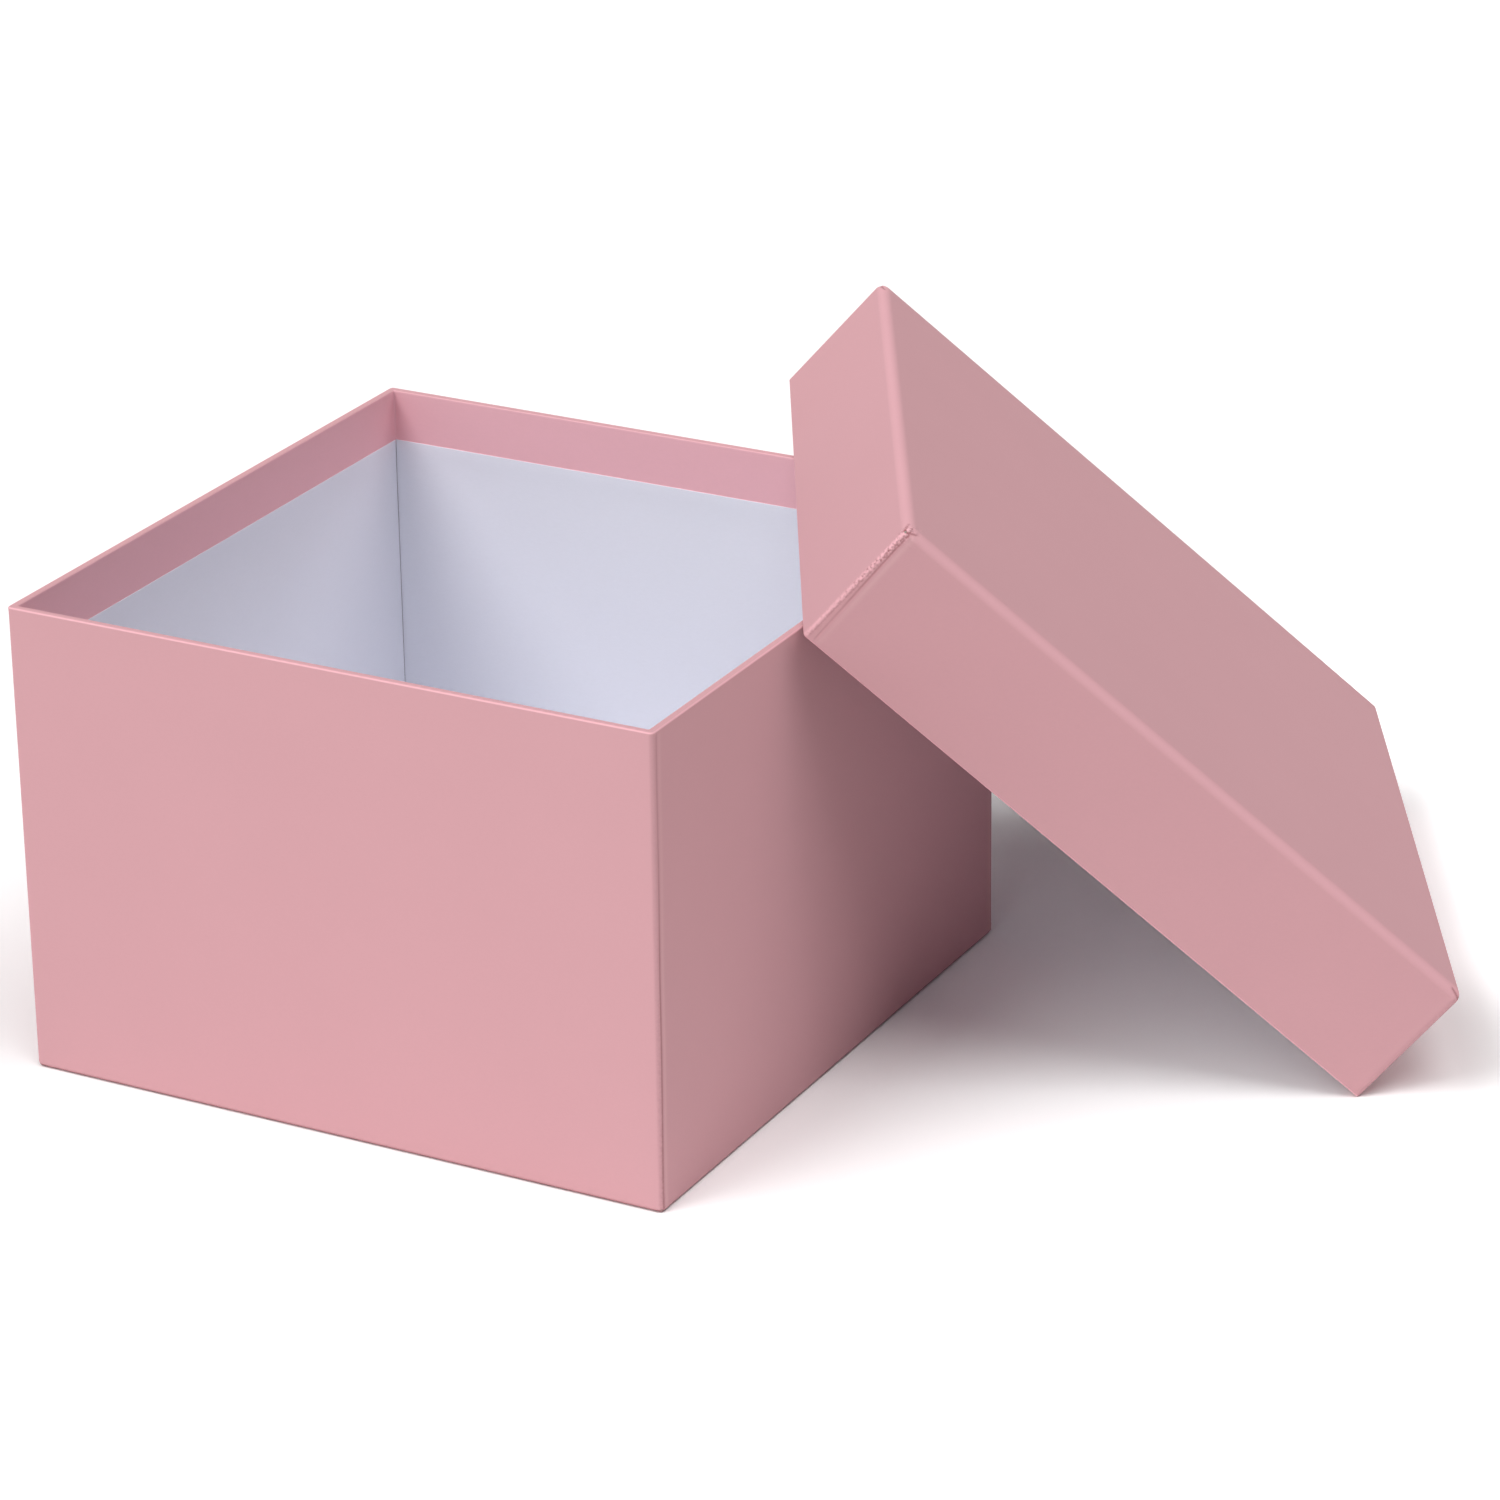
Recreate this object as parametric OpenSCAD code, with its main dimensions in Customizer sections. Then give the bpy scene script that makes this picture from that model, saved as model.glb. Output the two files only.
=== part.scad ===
// Flower box: a square set-up paper box with a lift-off lid.
// Tray and lid are built alike. Each is one scored and folded greyboard blank, taped at its
// corners with paper stays, wrapped in a cover paper that turns in over the rim, and lined.
// The origin is the middle of the tray's underside, +Z is up and the front wall faces -Y.
// The lid leans on the tray's back right corner, with its lower rim edge on the ground.

/* [Tray] */
// Outer width of the tray, left to right
tray_w = 200; // [180:5:220]
// Outer depth of the tray, front to back
tray_d = 200; // [180:5:220]
// Outer height of the tray
tray_h = 138; // [110:1:150]
// Outer radius of the tray's folds, between bottom and walls
tray_fold_r = 1.4; // [1.1:0.1:2.6]

/* [Lid] */
// Outer height of the lid
lid_h = 41.5; // [36:0.5:48]
// Play between the lid's rim and the tray, on each side
lid_play = 0.7; // [0.4:0.1:1.5]
// Outer radius of the lid's folds, between panel and skirts
lid_fold_r = 3; // [2:0.1:3.2]

/* [Board] */
// Thickness of the greyboard
board_t = 1.8; // [1.4:0.1:2.4]
// Gap left where the end of a side wall butts against the front or back wall
butt_gap = 0.2; // [0.1:0.05:0.4]
// Depth of the score inside each fold, as a share of the board's thickness
score_share = 0.35; // [0.2:0.05:0.5]

/* [Cover paper] */
// Thickness of the cover paper with its glue, outside and over the rim
wrap_t = 0.3; // [0.26:0.02:0.4]
// Thickness of the cover paper where it turns in
turn_t = 0.2; // [0.12:0.02:0.22]
// How far the cover paper turns in below the rim
turn_in = 17; // [12:1:20]
// Outer radius of the upright corners
corner_r = 1.3; // [1:0.1:1.6]
// Distance from a corner at which the overlapping wall paper ends
lap_edge = 1.8; // [1.6:0.1:3]
// Step at the edge of the overlapping paper
lap_step = 0.1; // [0.04:0.02:0.1]

/* [Stays and lining] */
// Thickness of the corner stays
stay_t = 0.12; // [0.08:0.01:0.12]
// Width of a stay on each side of its corner
stay_leg = 12; // [8:1:16]
// Thickness of the lining paper
liner_t = 0.25; // [0.24:0.01:0.35]
// Height by which the lining covers the turned-in paper
liner_lap = 1.5; // [1:0.5:4]
// Gap left where the ends of the lining strip meet
liner_gap = 0.5; // [0.3:0.1:1]

/* [Leaning lid] */
// Turn of the lid about the upright, seen from above
lean_yaw = 28.8; // [26:0.2:34]
// Furthest that the tray's corner reaches in under the lid, seen from above
lean_reach = 55; // [40:1:55]
// Distance along the slope's level direction from the tray's corner to the lid's middle
lean_side = 10; // [8:1:14]

/* [Hidden] */
$fn = 48;
eps = 0.01;
rim_out_r = 0.5;         // rounding of the rim's outer edge
rim_in_r = 0.4;          // rounding of the rim's inner edge
stay_inset = 2;          // distance from a stay's ends to the fold and to the rim
lean_gap = 0.15;         // air between the lid's rim and the tray's rim
corner_play = 1.9;       // least air between the tray's corner and the lid's panel
skirt_play = 3;          // least air between the tray's rim and the lid's side skirt

wall_t = board_t + wrap_t + turn_t;
floor_z = wrap_t + board_t;
lid_w = tray_w + 2 * (wall_t + lid_play);
lid_d = tray_d + 2 * (wall_t + lid_play);
lid_hollow = lid_h - floor_z - liner_t;

// The lid's slope: its rim plane climbs from the ground to the tray's rim.
tilt = asin((tray_h + lean_gap) / (lid_w - wall_t));
reach = min(
    lean_reach,
    (lid_hollow - corner_play) / sin(tilt),
    tan(lean_yaw) * (tray_d / 2 + lid_play + lean_side - skirt_play)
);
// The tray's back right corner, along and across the lid's downhill direction
corner_down = tray_w / 2 * cos(lean_yaw) + tray_d / 2 * sin(lean_yaw);
corner_level = tray_d / 2 * cos(lean_yaw) - tray_w / 2 * sin(lean_yaw);
foot_down = corner_down - reach + (lid_w - wall_t) * cos(tilt);
foot_level = corner_level - lean_side;
// The rounded rim touches the ground a little inside its sharp edge.
foot_z = rim_out_r * (1 - sin(tilt) - cos(tilt));

BOARD_GREY = [0.60, 0.57, 0.53];
STAY_WHITE = [0.88, 0.86, 0.82];
COVER_PINK = [0.87, 0.69, 0.71];
LINER_WHITE = [0.86, 0.86, 0.91];
SIDES = [-1, 1];

// ---- Shapes ----

// Rectangle of width w standing on the axis, with rounded lower and upper corners
module rounded_outline(w, h, low_r, high_r) {
    translate([-w / 2, low_r]) square([w, h - low_r - high_r]);
    if (low_r > 0) {
        translate([-w / 2 + low_r, 0]) square([w - 2 * low_r, low_r + eps]);
        for (side = SIDES) translate([side * (w / 2 - low_r), low_r]) circle(low_r);
    }
    if (high_r > 0) {
        translate([-w / 2 + high_r, h - high_r - eps]) square([w - 2 * high_r, high_r + eps]);
        for (side = SIDES) translate([side * (w / 2 - high_r), h - high_r]) circle(high_r);
    }
}

// Upright block with rounded upright corners
module post(w, d, h, r) {
    linear_extrude(h) translate([0, -d / 2]) rounded_outline(w, d, r, r);
}

// Block of plan w by d, standing on the ground
module slab(w, d, h) {
    translate([-w / 2, -d / 2, 0]) cube([w, d, h]);
}

// Two outlines drawn from the front and from the side, crossed so that their edges mitre
module crossed(w, d) {
    intersection() {
        translate([0, d, 0]) rotate([90, 0, 0]) linear_extrude(2 * d) children(0);
        translate([-w, 0, 0]) rotate([90, 0, 90]) linear_extrude(2 * w) children(1);
    }
}

// The outside of a folded half, open side up: folds round the bottom, rim at the top
module folded_form(w, d, h, upright_r, bottom_r, rim_r) {
    intersection() {
        post(w, d, h, upright_r);
        crossed(w, d) {
            rounded_outline(w, h, bottom_r, rim_r);
            rounded_outline(d, h, bottom_r, rim_r);
        }
    }
}

// Outline of a hollow that flares out over a rounded rim at height h
module flared_outline(w, h) {
    translate([-w / 2, 0]) square([w, h + 1]);
    for (side = SIDES)
        difference() {
            translate([side * w / 2 - rim_in_r, h - rim_in_r]) square([2 * rim_in_r, rim_in_r + 1]);
            translate([side * (w / 2 + rim_in_r), h - rim_in_r]) circle(rim_in_r);
        }
}

// ---- Parts of a half, open side up, of outer size w by d by h ----

// Size of the greyboard inside the walls
function board_in(size) = size - 2 * (wrap_t + board_t);

// The outside of the greyboard, with its butt joints closed
module board_form(w, d, h, fold_r) {
    translate([0, 0, wrap_t])
        folded_form(w - 2 * wrap_t, d - 2 * wrap_t, h - 2 * wrap_t,
            corner_r - wrap_t, fold_r - wrap_t, 0);
}

// Scores cut into the inside of the four folds
module scores(w, d) {
    score = score_share * board_t;
    translate([0, 0, floor_z - score]) difference() {
        slab(board_in(w), board_in(d), score + eps);
        translate([0, 0, -eps])
            slab(board_in(w) - 2 * butt_gap, board_in(d) - 2 * butt_gap, score + 3 * eps);
    }
}

// Folded blank: the front and back walls cover the ends of the side walls
module folded_board(w, d, h, fold_r) {
    color(BOARD_GREY) difference() {
        board_form(w, d, h, fold_r);
        translate([0, 0, floor_z]) slab(board_in(w), board_in(d), h);
        scores(w, d);
        for (x_side = SIDES, y_side = SIDES)
            translate([
                x_side > 0 ? board_in(w) / 2 : -w / 2 - 1,
                y_side > 0 ? board_in(d) / 2 - butt_gap : -board_in(d) / 2,
                -1
            ]) cube([wall_t + 1, butt_gap, h + 2]);
    }
}

// Paper stay bent round the outside of one upright corner
module corner_stay(w, d, h, fold_r, x_side, y_side) {
    board_w = w - 2 * wrap_t;
    board_d = d - 2 * wrap_t;
    low = fold_r + stay_inset;
    color(STAY_WHITE) translate([0, 0, low]) intersection() {
        difference() {
            post(board_w + 2 * stay_t, board_d + 2 * stay_t, h - low - stay_inset,
                corner_r - wrap_t + stay_t);
            translate([0, 0, -1]) post(board_w, board_d, h, corner_r - wrap_t);
        }
        translate([x_side * w / 2, y_side * d / 2, 0])
            slab(2 * (stay_leg + wrap_t), 2 * (stay_leg + wrap_t), h);
    }
}

// Cover paper: round the outside, over the rim and turned in. The papers of the walls that
// face along X (lap_x) or along Y lie over the ears and end a little short of the corners.
module cover_wrap(w, d, h, fold_r, lap_x) {
    color(COVER_PINK) difference() {
        folded_form(w, d, h, corner_r, fold_r, rim_out_r);
        difference() {
            board_form(w, d, h, fold_r);
            translate([0, 0, h - turn_in]) slab(board_in(w), board_in(d), turn_in);
        }
        for (x_side = SIDES, y_side = SIDES) corner_stay(w, d, h, fold_r, x_side, y_side);
        crossed(w, d) {
            flared_outline(board_in(w) - 2 * turn_t, h);
            flared_outline(board_in(d) - 2 * turn_t, h);
        }
        for (x_side = SIDES, y_side = SIDES)
            if (lap_x)
                translate([x_side * w / 2, y_side * d / 2, -1])
                    slab(2 * lap_step, 2 * lap_edge, h + 2);
            else
                translate([x_side * w / 2, y_side * d / 2, -1])
                    slab(2 * lap_edge, 2 * lap_step, h + 2);
    }
}

// Ring of lining paper inside the walls, inset from the board by the given amount
module liner_ring(w, d, inset, low, high) {
    translate([0, 0, low]) difference() {
        slab(board_in(w) - 2 * inset, board_in(d) - 2 * inset, high - low);
        translate([0, 0, -1])
            slab(board_in(w) - 2 * (inset + liner_t), board_in(d) - 2 * (inset + liner_t),
                high - low + 2);
    }
}

// Lining of the walls, which steps in where it covers the turned-in paper
module wall_lining(w, d, h) {
    liner_ring(w, d, 0, floor_z, h - turn_in);
    liner_ring(w, d, turn_t, h - turn_in - liner_t, h - turn_in + liner_lap);
}

// ---- Pieces ----

module tray_board() folded_board(tray_w, tray_d, tray_h, tray_fold_r);

module tray_stay(x_side, y_side)
    corner_stay(tray_w, tray_d, tray_h, tray_fold_r, x_side, y_side);

module tray_wrap() cover_wrap(tray_w, tray_d, tray_h, tray_fold_r, true);

// One strip round the four walls, whose ends meet in the back left corner
module tray_wall_liner() {
    color(LINER_WHITE) difference() {
        wall_lining(tray_w, tray_d, tray_h);
        translate([
            -board_in(tray_w) / 2 - 1,
            board_in(tray_d) / 2 - turn_t - liner_t - liner_gap,
            0
        ]) cube([1 + turn_t + liner_t + eps, liner_gap, tray_h]);
    }
}

module tray_floor_liner() {
    margin = liner_t + liner_gap;
    color(LINER_WHITE) translate([0, 0, floor_z])
        slab(board_in(tray_w) - 2 * margin, board_in(tray_d) - 2 * margin, liner_t);
}

// Turns a half upside down and leans it: lower rim edge on the ground, upper rim on the tray
module leaning() {
    rotate([0, 0, lean_yaw])
        translate([foot_down, foot_level, foot_z])
            rotate([0, tilt, 0])
                translate([-lid_w / 2, 0, lid_h])
                    rotate([180, 0, 0]) children();
}

module lid_board() leaning() folded_board(lid_w, lid_d, lid_h, lid_fold_r);

// The lid is upside down, so its front stays lie on the half's back side.
module lid_stay(x_side, y_side)
    leaning() corner_stay(lid_w, lid_d, lid_h, lid_fold_r, x_side, -y_side);

module lid_wrap() leaning() cover_wrap(lid_w, lid_d, lid_h, lid_fold_r, false);

module lid_liner() {
    color(LINER_WHITE) leaning() {
        wall_lining(lid_w, lid_d, lid_h);
        translate([0, 0, floor_z]) slab(board_in(lid_w), board_in(lid_d), liner_t);
    }
}

tray_board();
tray_stay(-1, -1);  // tray_stay_front_left
tray_stay(1, -1);  // tray_stay_front_right
tray_stay(-1, 1);  // tray_stay_back_left
tray_stay(1, 1);  // tray_stay_back_right
tray_wrap();
tray_wall_liner();
tray_floor_liner();
lid_board();
lid_stay(-1, -1);  // lid_stay_upper_front
lid_stay(-1, 1);  // lid_stay_upper_back
lid_stay(1, -1);  // lid_stay_lower_front
lid_stay(1, 1);  // lid_stay_lower_back
lid_wrap();
lid_liner();
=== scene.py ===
"""Looks of the flower box: paper covers, linings, board, stays and a plain studio.

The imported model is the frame. The covers and linings are sheets of paper worked out here, and
the board, the stays and the floor lining are the model's own solids with better materials.
"""

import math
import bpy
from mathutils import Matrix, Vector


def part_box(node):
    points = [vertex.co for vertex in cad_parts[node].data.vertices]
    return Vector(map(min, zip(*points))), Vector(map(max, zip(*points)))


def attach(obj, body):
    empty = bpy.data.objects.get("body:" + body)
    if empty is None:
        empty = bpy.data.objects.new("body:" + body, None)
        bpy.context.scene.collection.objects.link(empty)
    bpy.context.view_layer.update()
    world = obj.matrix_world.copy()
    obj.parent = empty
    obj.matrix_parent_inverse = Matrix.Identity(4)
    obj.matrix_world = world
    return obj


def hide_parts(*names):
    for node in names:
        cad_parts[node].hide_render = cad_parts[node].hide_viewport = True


bl_info = {
    "name": "Flower Box",
    "version": (1, 0, 0),
    "blender": (4, 5, 0),
    "location": "3D View > Sidebar > Flower Box",
    "description": "Dresses a paper-covered box with a lift-off lid",
    "category": "Object",
}

from collections import namedtuple

import bpy
import numpy as np
from bpy.props import FloatProperty, FloatVectorProperty, PointerProperty
from mathutils import Euler, Matrix, Vector

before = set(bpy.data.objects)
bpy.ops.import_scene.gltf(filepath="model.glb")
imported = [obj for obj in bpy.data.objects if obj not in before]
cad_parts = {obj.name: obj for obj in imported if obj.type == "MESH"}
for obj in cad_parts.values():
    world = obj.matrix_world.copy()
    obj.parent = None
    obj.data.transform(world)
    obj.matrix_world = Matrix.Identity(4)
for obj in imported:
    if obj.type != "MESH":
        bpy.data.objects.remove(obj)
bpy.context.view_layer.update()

MM = 0.001
QUARTER = math.pi / 2
TRAY_LOW, TRAY_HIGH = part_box("tray_wrap")


# ---- Settings ----


def length(name, description, default, **more):
    """A length in millimetres, kept in metres."""
    return FloatProperty(
        name=name, description=description, default=default * MM, unit="LENGTH", precision=5, **more
    )


def share(name, description, default):
    """A number from 0 to 1."""
    return FloatProperty(
        name=name, description=description, default=default, min=0, max=1, subtype="FACTOR"
    )


def colour(name, description, default):
    """A linear colour."""
    return FloatVectorProperty(
        name=name, description=description, default=default, min=0, max=1, size=3, subtype="COLOR"
    )


def lamp(name, description, default):
    """A lamp: degrees round from the front to the right, degrees up, and strength."""
    return FloatVectorProperty(name=name, description=description, default=default)


class BoxSizes(bpy.types.PropertyGroup):
    """Sizes of the box, as its solids have them."""

    tray_w: length("Tray width", "Left to right", (TRAY_HIGH.x - TRAY_LOW.x) / MM)
    tray_d: length("Tray depth", "Front to back", (TRAY_HIGH.y - TRAY_LOW.y) / MM)
    tray_h: length("Tray height", "Bottom to rim", (TRAY_HIGH.z - TRAY_LOW.z) / MM)
    tray_fold: length("Tray fold", "Outer radius between bottom and walls", 1.4)
    lid_h: length("Lid height", "Panel to rim", 41.5)
    lid_play: length("Lid play", "Air between lid and tray on each side", 0.7)
    lid_fold: length("Lid fold", "Outer radius between panel and skirts", 3)
    corner: length("Corner", "Outer radius of the upright corners", 1.3)
    board: length("Board", "Thickness of the greyboard", 1.8)


class PaperSizes(bpy.types.PropertyGroup):
    """Sizes of the papers and how they lie."""

    cover: length("Cover", "Thickness of the cover paper with its glue", 0.3)
    turned: length("Turned in", "Thickness of the cover paper inside the rim", 0.2)
    turn_in: length("Turn-in", "How far the cover paper turns in below the rim", 17)
    rim_out: length("Outer rim edge", "Rounding of the rim's outer edge", 0.5)
    rim_in: length("Inner rim edge", "Rounding of the rim's inner edge", 0.4)
    lap_step: length("Lap step", "Step at the edge of the overlapping paper", 0.1)
    lining: length("Lining", "Thickness of the lining paper", 0.25)
    lining_lap: length("Lining lap", "Height by which the lining covers the turn-in", 1.5)
    lining_gap: length("Lining gap", "Gap where the ends of the strip meet", 0.04)
    ripple: length("Ripple", "Height of the slow waves in a papered wall", 0.1)


class LeanSizes(bpy.types.PropertyGroup):
    """How the lid leans on the tray's back right corner."""

    yaw: FloatProperty(
        name="Yaw",
        description="Turn of the lid about the upright",
        default=math.radians(28.8),
        subtype="ANGLE",
    )
    side: length("Side", "Level distance from the tray's corner to the lid's middle", 10)
    gap: length("Gap", "Air between the lid's rim and the tray's rim", 0.15)
    corner_play: length("Corner play", "Air between the tray's corner and the panel", 1.9)


class PaperColours(bpy.types.PropertyGroup):
    """Colours and finish of the papers and the board."""

    cover: colour("Cover paper", "Dusty pink cover paper", (0.66, 0.356, 0.386))
    # Painted highlight: this paler paper stands in for light on the turned-in band and the rim's
    # outer edge; at the folds it is partly wear and partly painted highlight, at a rough lap wear
    pale: colour("Bent cover paper", "Where it is turned in or worn at a fold", (0.87, 0.48, 0.53))
    cover_core: colour("Cut edge", "Raw edge of the cover paper", (0.84, 0.54, 0.55))
    # Painted shade: this dark colour stands in for shade in a gap beside a lap, in tucks and
    # creases, and as contact shade under the tray's fold
    cover_gap: colour("Gap", "Shaded gap beside a lap or in a tuck", (0.3, 0.1, 0.11))
    lining: colour("Lining paper", "Cool white lining paper", (0.83, 0.84, 0.915))
    board: colour("Greyboard", "Recycled greyboard", (0.33, 0.30, 0.26))
    stay: colour("Stay paper", "Gummed paper of the corner stays", (0.62, 0.55, 0.44))
    roughness: share("Roughness", "Roughness of the papers", 0.66)
    fibre: share("Fibre", "Contrast of the papers' fibres", 0.05)


class StudioSettings(bpy.types.PropertyGroup):
    """Floor, light and camera."""

    floor_radius: length("Floor radius", "Radius of the floor", 6000)
    floor_colour: colour("Floor", "Floor as the light sees it", (0.95, 0.95, 0.95))
    floor_gain: FloatProperty(
        name="Floor gain", description="Brightness of the floor to the camera", default=1.11
    )
    # Painted light: brightness added to the floor behind the lid, to the camera only, pales the
    # lid's shadow there
    floor_painted_light: FloatProperty(
        name="Floor lift", description="Added brightness of the floor behind the lid", default=0.42
    )
    lamp_angle: FloatProperty(
        name="Lamp size",
        description="Apparent size of every lamp",
        default=math.radians(30),
        subtype="ANGLE",
    )
    key: lamp("Key", "From the front left, the strongest", (330, 48, 1.27))
    top: lamp("Top", "From high on the right", (60, 68, 1.1))
    crown: lamp("Crown", "From high on the left", (300, 68, 0.63))
    back: lamp("Back", "From the back right, on the leaning panel", (120, 48, 0.6))
    low: lamp("Low", "From low in front, to the left", (330, 8, 0.48))
    front: lamp("Front", "From in front", (0, 28, 0.34))
    camera_at: FloatVectorProperty(
        name="Camera",
        description="Place of the camera",
        default=(0.767879, -1.282155, 0.706587),
        subtype="TRANSLATION",
        precision=5,
    )
    camera_turn: FloatVectorProperty(
        name="Camera turn",
        description="Turn of the camera about X, Y and Z",
        default=[math.radians(a) for a in (67.0968, 0.7424, 28.1025)],
        subtype="EULER",
        precision=5,
    )
    lens: FloatProperty(name="Lens", description="Focal length in mm", default=138.31)


LAMPS = ("key", "top", "crown", "back", "low", "front")

SETTINGS = {
    "flower_box": BoxSizes,
    "flower_paper": PaperSizes,
    "flower_lean": LeanSizes,
    "flower_colours": PaperColours,
    "flower_studio": StudioSettings,
}


# ---- Shader nodes ----


class Value:
    """A socket that carries one number. Arithmetic on it adds Math nodes."""

    def __init__(self, paint, socket):
        self.paint = paint
        self.socket = socket

    def _math(self, operation, first, second):
        return self.paint.node("ShaderNodeMath", {0: first, 1: second}, operation=operation)

    def __add__(self, other):
        return self._math("ADD", self, other)

    def __radd__(self, other):
        return self._math("ADD", other, self)

    def __sub__(self, other):
        return self._math("SUBTRACT", self, other)

    def __rsub__(self, other):
        return self._math("SUBTRACT", other, self)

    def __mul__(self, other):
        return self._math("MULTIPLY", self, other)

    def __rmul__(self, other):
        return self._math("MULTIPLY", other, self)


class Paint:
    """A node tree that is being written: of a material or of the world."""

    def __init__(self, owner):
        owner.use_nodes = True
        self.tree = owner.node_tree
        self.tree.nodes.clear()

    def node(self, kind, inputs=(), output=0, stops=None, **settings):
        """Adds a node, sets its settings, then its inputs, and gives one output back."""
        made = self.tree.nodes.new(kind)
        for name, setting in settings.items():
            setattr(made, name, setting)
        if stops:
            ramp = made.color_ramp.elements
            while len(ramp) < len(stops):
                ramp.new(1)
            for element, (place, tone) in zip(ramp, stops):
                element.position = place
                element.color = (tone, tone, tone, 1)
        for name, given in dict(inputs).items():
            if isinstance(given, Value):
                self.tree.links.new(given.socket, made.inputs[name])
            else:
                made.inputs[name].default_value = given
        return Value(self, made.outputs[output]) if made.outputs else None

    def mix(self, factor, first, second):
        """A colour that goes from the first to the second as the factor goes from 0 to 1."""
        inputs = {0: factor, 6: as_colour(first), 7: as_colour(second)}
        return self.node("ShaderNodeMix", inputs, output=2, data_type="RGBA")

    def scaled(self, tone, factor):
        """A colour made lighter or darker by a factor."""
        return self.node("ShaderNodeVectorMath", {0: tone, "Scale": factor}, operation="SCALE")

    def noise(self, place, scale, detail=2.0, roughness=0.5):
        """Perlin noise, about 0.5 in the mean, with the given number of waves a metre."""
        inputs = {"Vector": place, "Scale": scale, "Detail": detail, "Roughness": roughness}
        return self.node("ShaderNodeTexNoise", inputs, output=0)

    def ramp(self, number, low, high):
        """Rises from 0 to 1 while a number goes from low to high, level at both ends."""
        inputs = {"Value": number, "From Min": low, "From Max": high}
        return self.node("ShaderNodeMapRange", inputs, interpolation_type="SMOOTHSTEP")

    def mark(self, name):
        """A number that the mesh holds at each point."""
        return self.node("ShaderNodeAttribute", output=2, attribute_name=name)

    def finish(self, shader, kind="ShaderNodeOutputMaterial"):
        """Links the shader to the tree's output."""
        self.node(kind, {"Surface": shader})


def as_colour(given):
    """Three numbers as a colour with alpha, and a socket as it is."""
    return given if isinstance(given, Value) else (*given, 1)


def shade(tone, factor):
    """A colour made lighter or darker by a factor, within 0 to 1."""
    return tuple(min(1.0, part * factor) for part in tone)


# ---- Materials ----


def matt_surface(paint, base, roughness, gloss, height, strength, depth):
    """Links a dull surface to the output, with a bump under a height from 0 to 1."""
    relief = {"Strength": strength, "Distance": depth, "Height": height}
    surface = {
        "Base Color": base,
        "Roughness": roughness,
        "Specular IOR Level": gloss,
        "Normal": paint.node("ShaderNodeBump", relief),
    }
    paint.finish(paint.node("ShaderNodeBsdfPrincipled", surface))


def paper_material(name, tone, colours, marked=False):
    """Matt uncoated paper: faint clouds, short fibres in colour, gloss and bump.
    On a cover, the mesh marks paler paper, which is painted highlight on the turned-in band and the
    rim's outer edge and partly wear, partly painted highlight at the folds; rough worn edges;
    painted shade in the gap beside a lap, in tucks and creases and under the tray's fold; and the
    lap's cut edge. Where the paper is worn, a fine noise about its mean frays the painted highlight
    and the painted shade and stands up in the bump."""
    material = bpy.data.materials.new(name)
    paint = Paint(material)
    place = paint.node("ShaderNodeTexCoord", output=3)
    stretched = paint.node("ShaderNodeMapping", {"Vector": place, "Scale": (1, 1, 2.5)})
    fibre = paint.noise(stretched, 700, detail=5, roughness=0.65)
    cloud = paint.noise(place, 28, detail=3)
    grain = (fibre - 0.5) * colours.fibre + (cloud - 0.5) * (0.6 * colours.fibre) + 1
    base = tone
    height = fibre
    if marked:
        pale_fray, gap_fray, raised_fray = 4.5, 3.5, 60
        crease = paint.noise(place, 1400, detail=1)
        rough = paint.mark("worn") * (crease - 0.5)
        # Painted highlight: the turned-in band, the rim's outer edge and the folds are made paler
        # to stand in for light; at the folds it is partly wear, at a rough lap only wear
        base = paint.mix(paint.mark("pale") + rough * pale_fray, tone, colours.pale)
        # Painted shade: gaps beside laps, tucks, creases and the underside of the tray's fold are
        # darkened to stand in for shade
        base = paint.mix(paint.mark("gap") - rough * gap_fray, base, colours.cover_gap)
        base = paint.mix(paint.mark("cut"), base, colours.cover_core)
        height = fibre + rough * raised_fray
    roughness = (fibre - 0.5) * 0.16 + colours.roughness
    matt_surface(paint, paint.scaled(base, grain), roughness, 0.2, height, 0.12, 0.05 * MM)
    return material


def greyboard_material(colours):
    """Pressed waste paper: mottled grey with dark and pale flecks and a rough face."""
    material = bpy.data.materials.new("greyboard")
    paint = Paint(material)
    place = paint.node("ShaderNodeTexCoord", output=3)
    mottle = paint.noise(place, 180, detail=6, roughness=0.7)
    fleck = paint.node("ShaderNodeTexVoronoi", {"Vector": place, "Scale": 420}, output=0)
    dark_fleck = paint.node(
        "ShaderNodeValToRGB", {"Fac": fleck}, output=0, stops=((0.05, 1), (0.16, 0))
    )
    base = paint.mix(mottle, shade(colours.board, 0.7), shade(colours.board, 1.3))
    base = paint.mix(dark_fleck, base, shade(colours.board, 0.45))
    matt_surface(paint, base, mottle * 0.2 + 0.75, 0.25, mottle, 0.3, 0.1 * MM)
    return material


# ---- Shape of a half: tray or lid, open side up ----

# One half: its outer size, fold radius, the matrix that places it, whether the papers that lie
# over the ears are on the sides that face along X or along Y, how much paler its folds are (partly
# wear, partly painted highlight), how strong the painted contact shade under its fold is, for its
# four corners how clear the lap's edge is and how rough, and its dents
Half = namedtuple("Half", "width depth height fold place lap_x worn soiled laps rough dents")

# A dent in a wall: its middle, its half width and its depth
Dent = namedtuple("Dent", "x y z width depth")

# Columns round a half, as whole arrays: centre shares (cx, cy), normals (nx, ny), way round
# from the corner on the lap's side (q), nearest corner (0 to 3) and side (0 to 3, +X first)
Columns = namedtuple("Columns", "cx cy nx ny q corner side")

# Rows of a section, as whole arrays: outward place (u), height (z), normal (nu, nz), scale
# about the middle (k), way along the section from the fold's start (v), and 1 on the outer face
Rows = namedtuple("Rows", "u z nu nz k v outer")

# Steps round an upright corner, a fold, an edge of the rim and the lining's fold
ARC_STEPS, FOLD_STEPS, RIM_STEPS, LINING_STEPS = 8, 14, 5, 6
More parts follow.
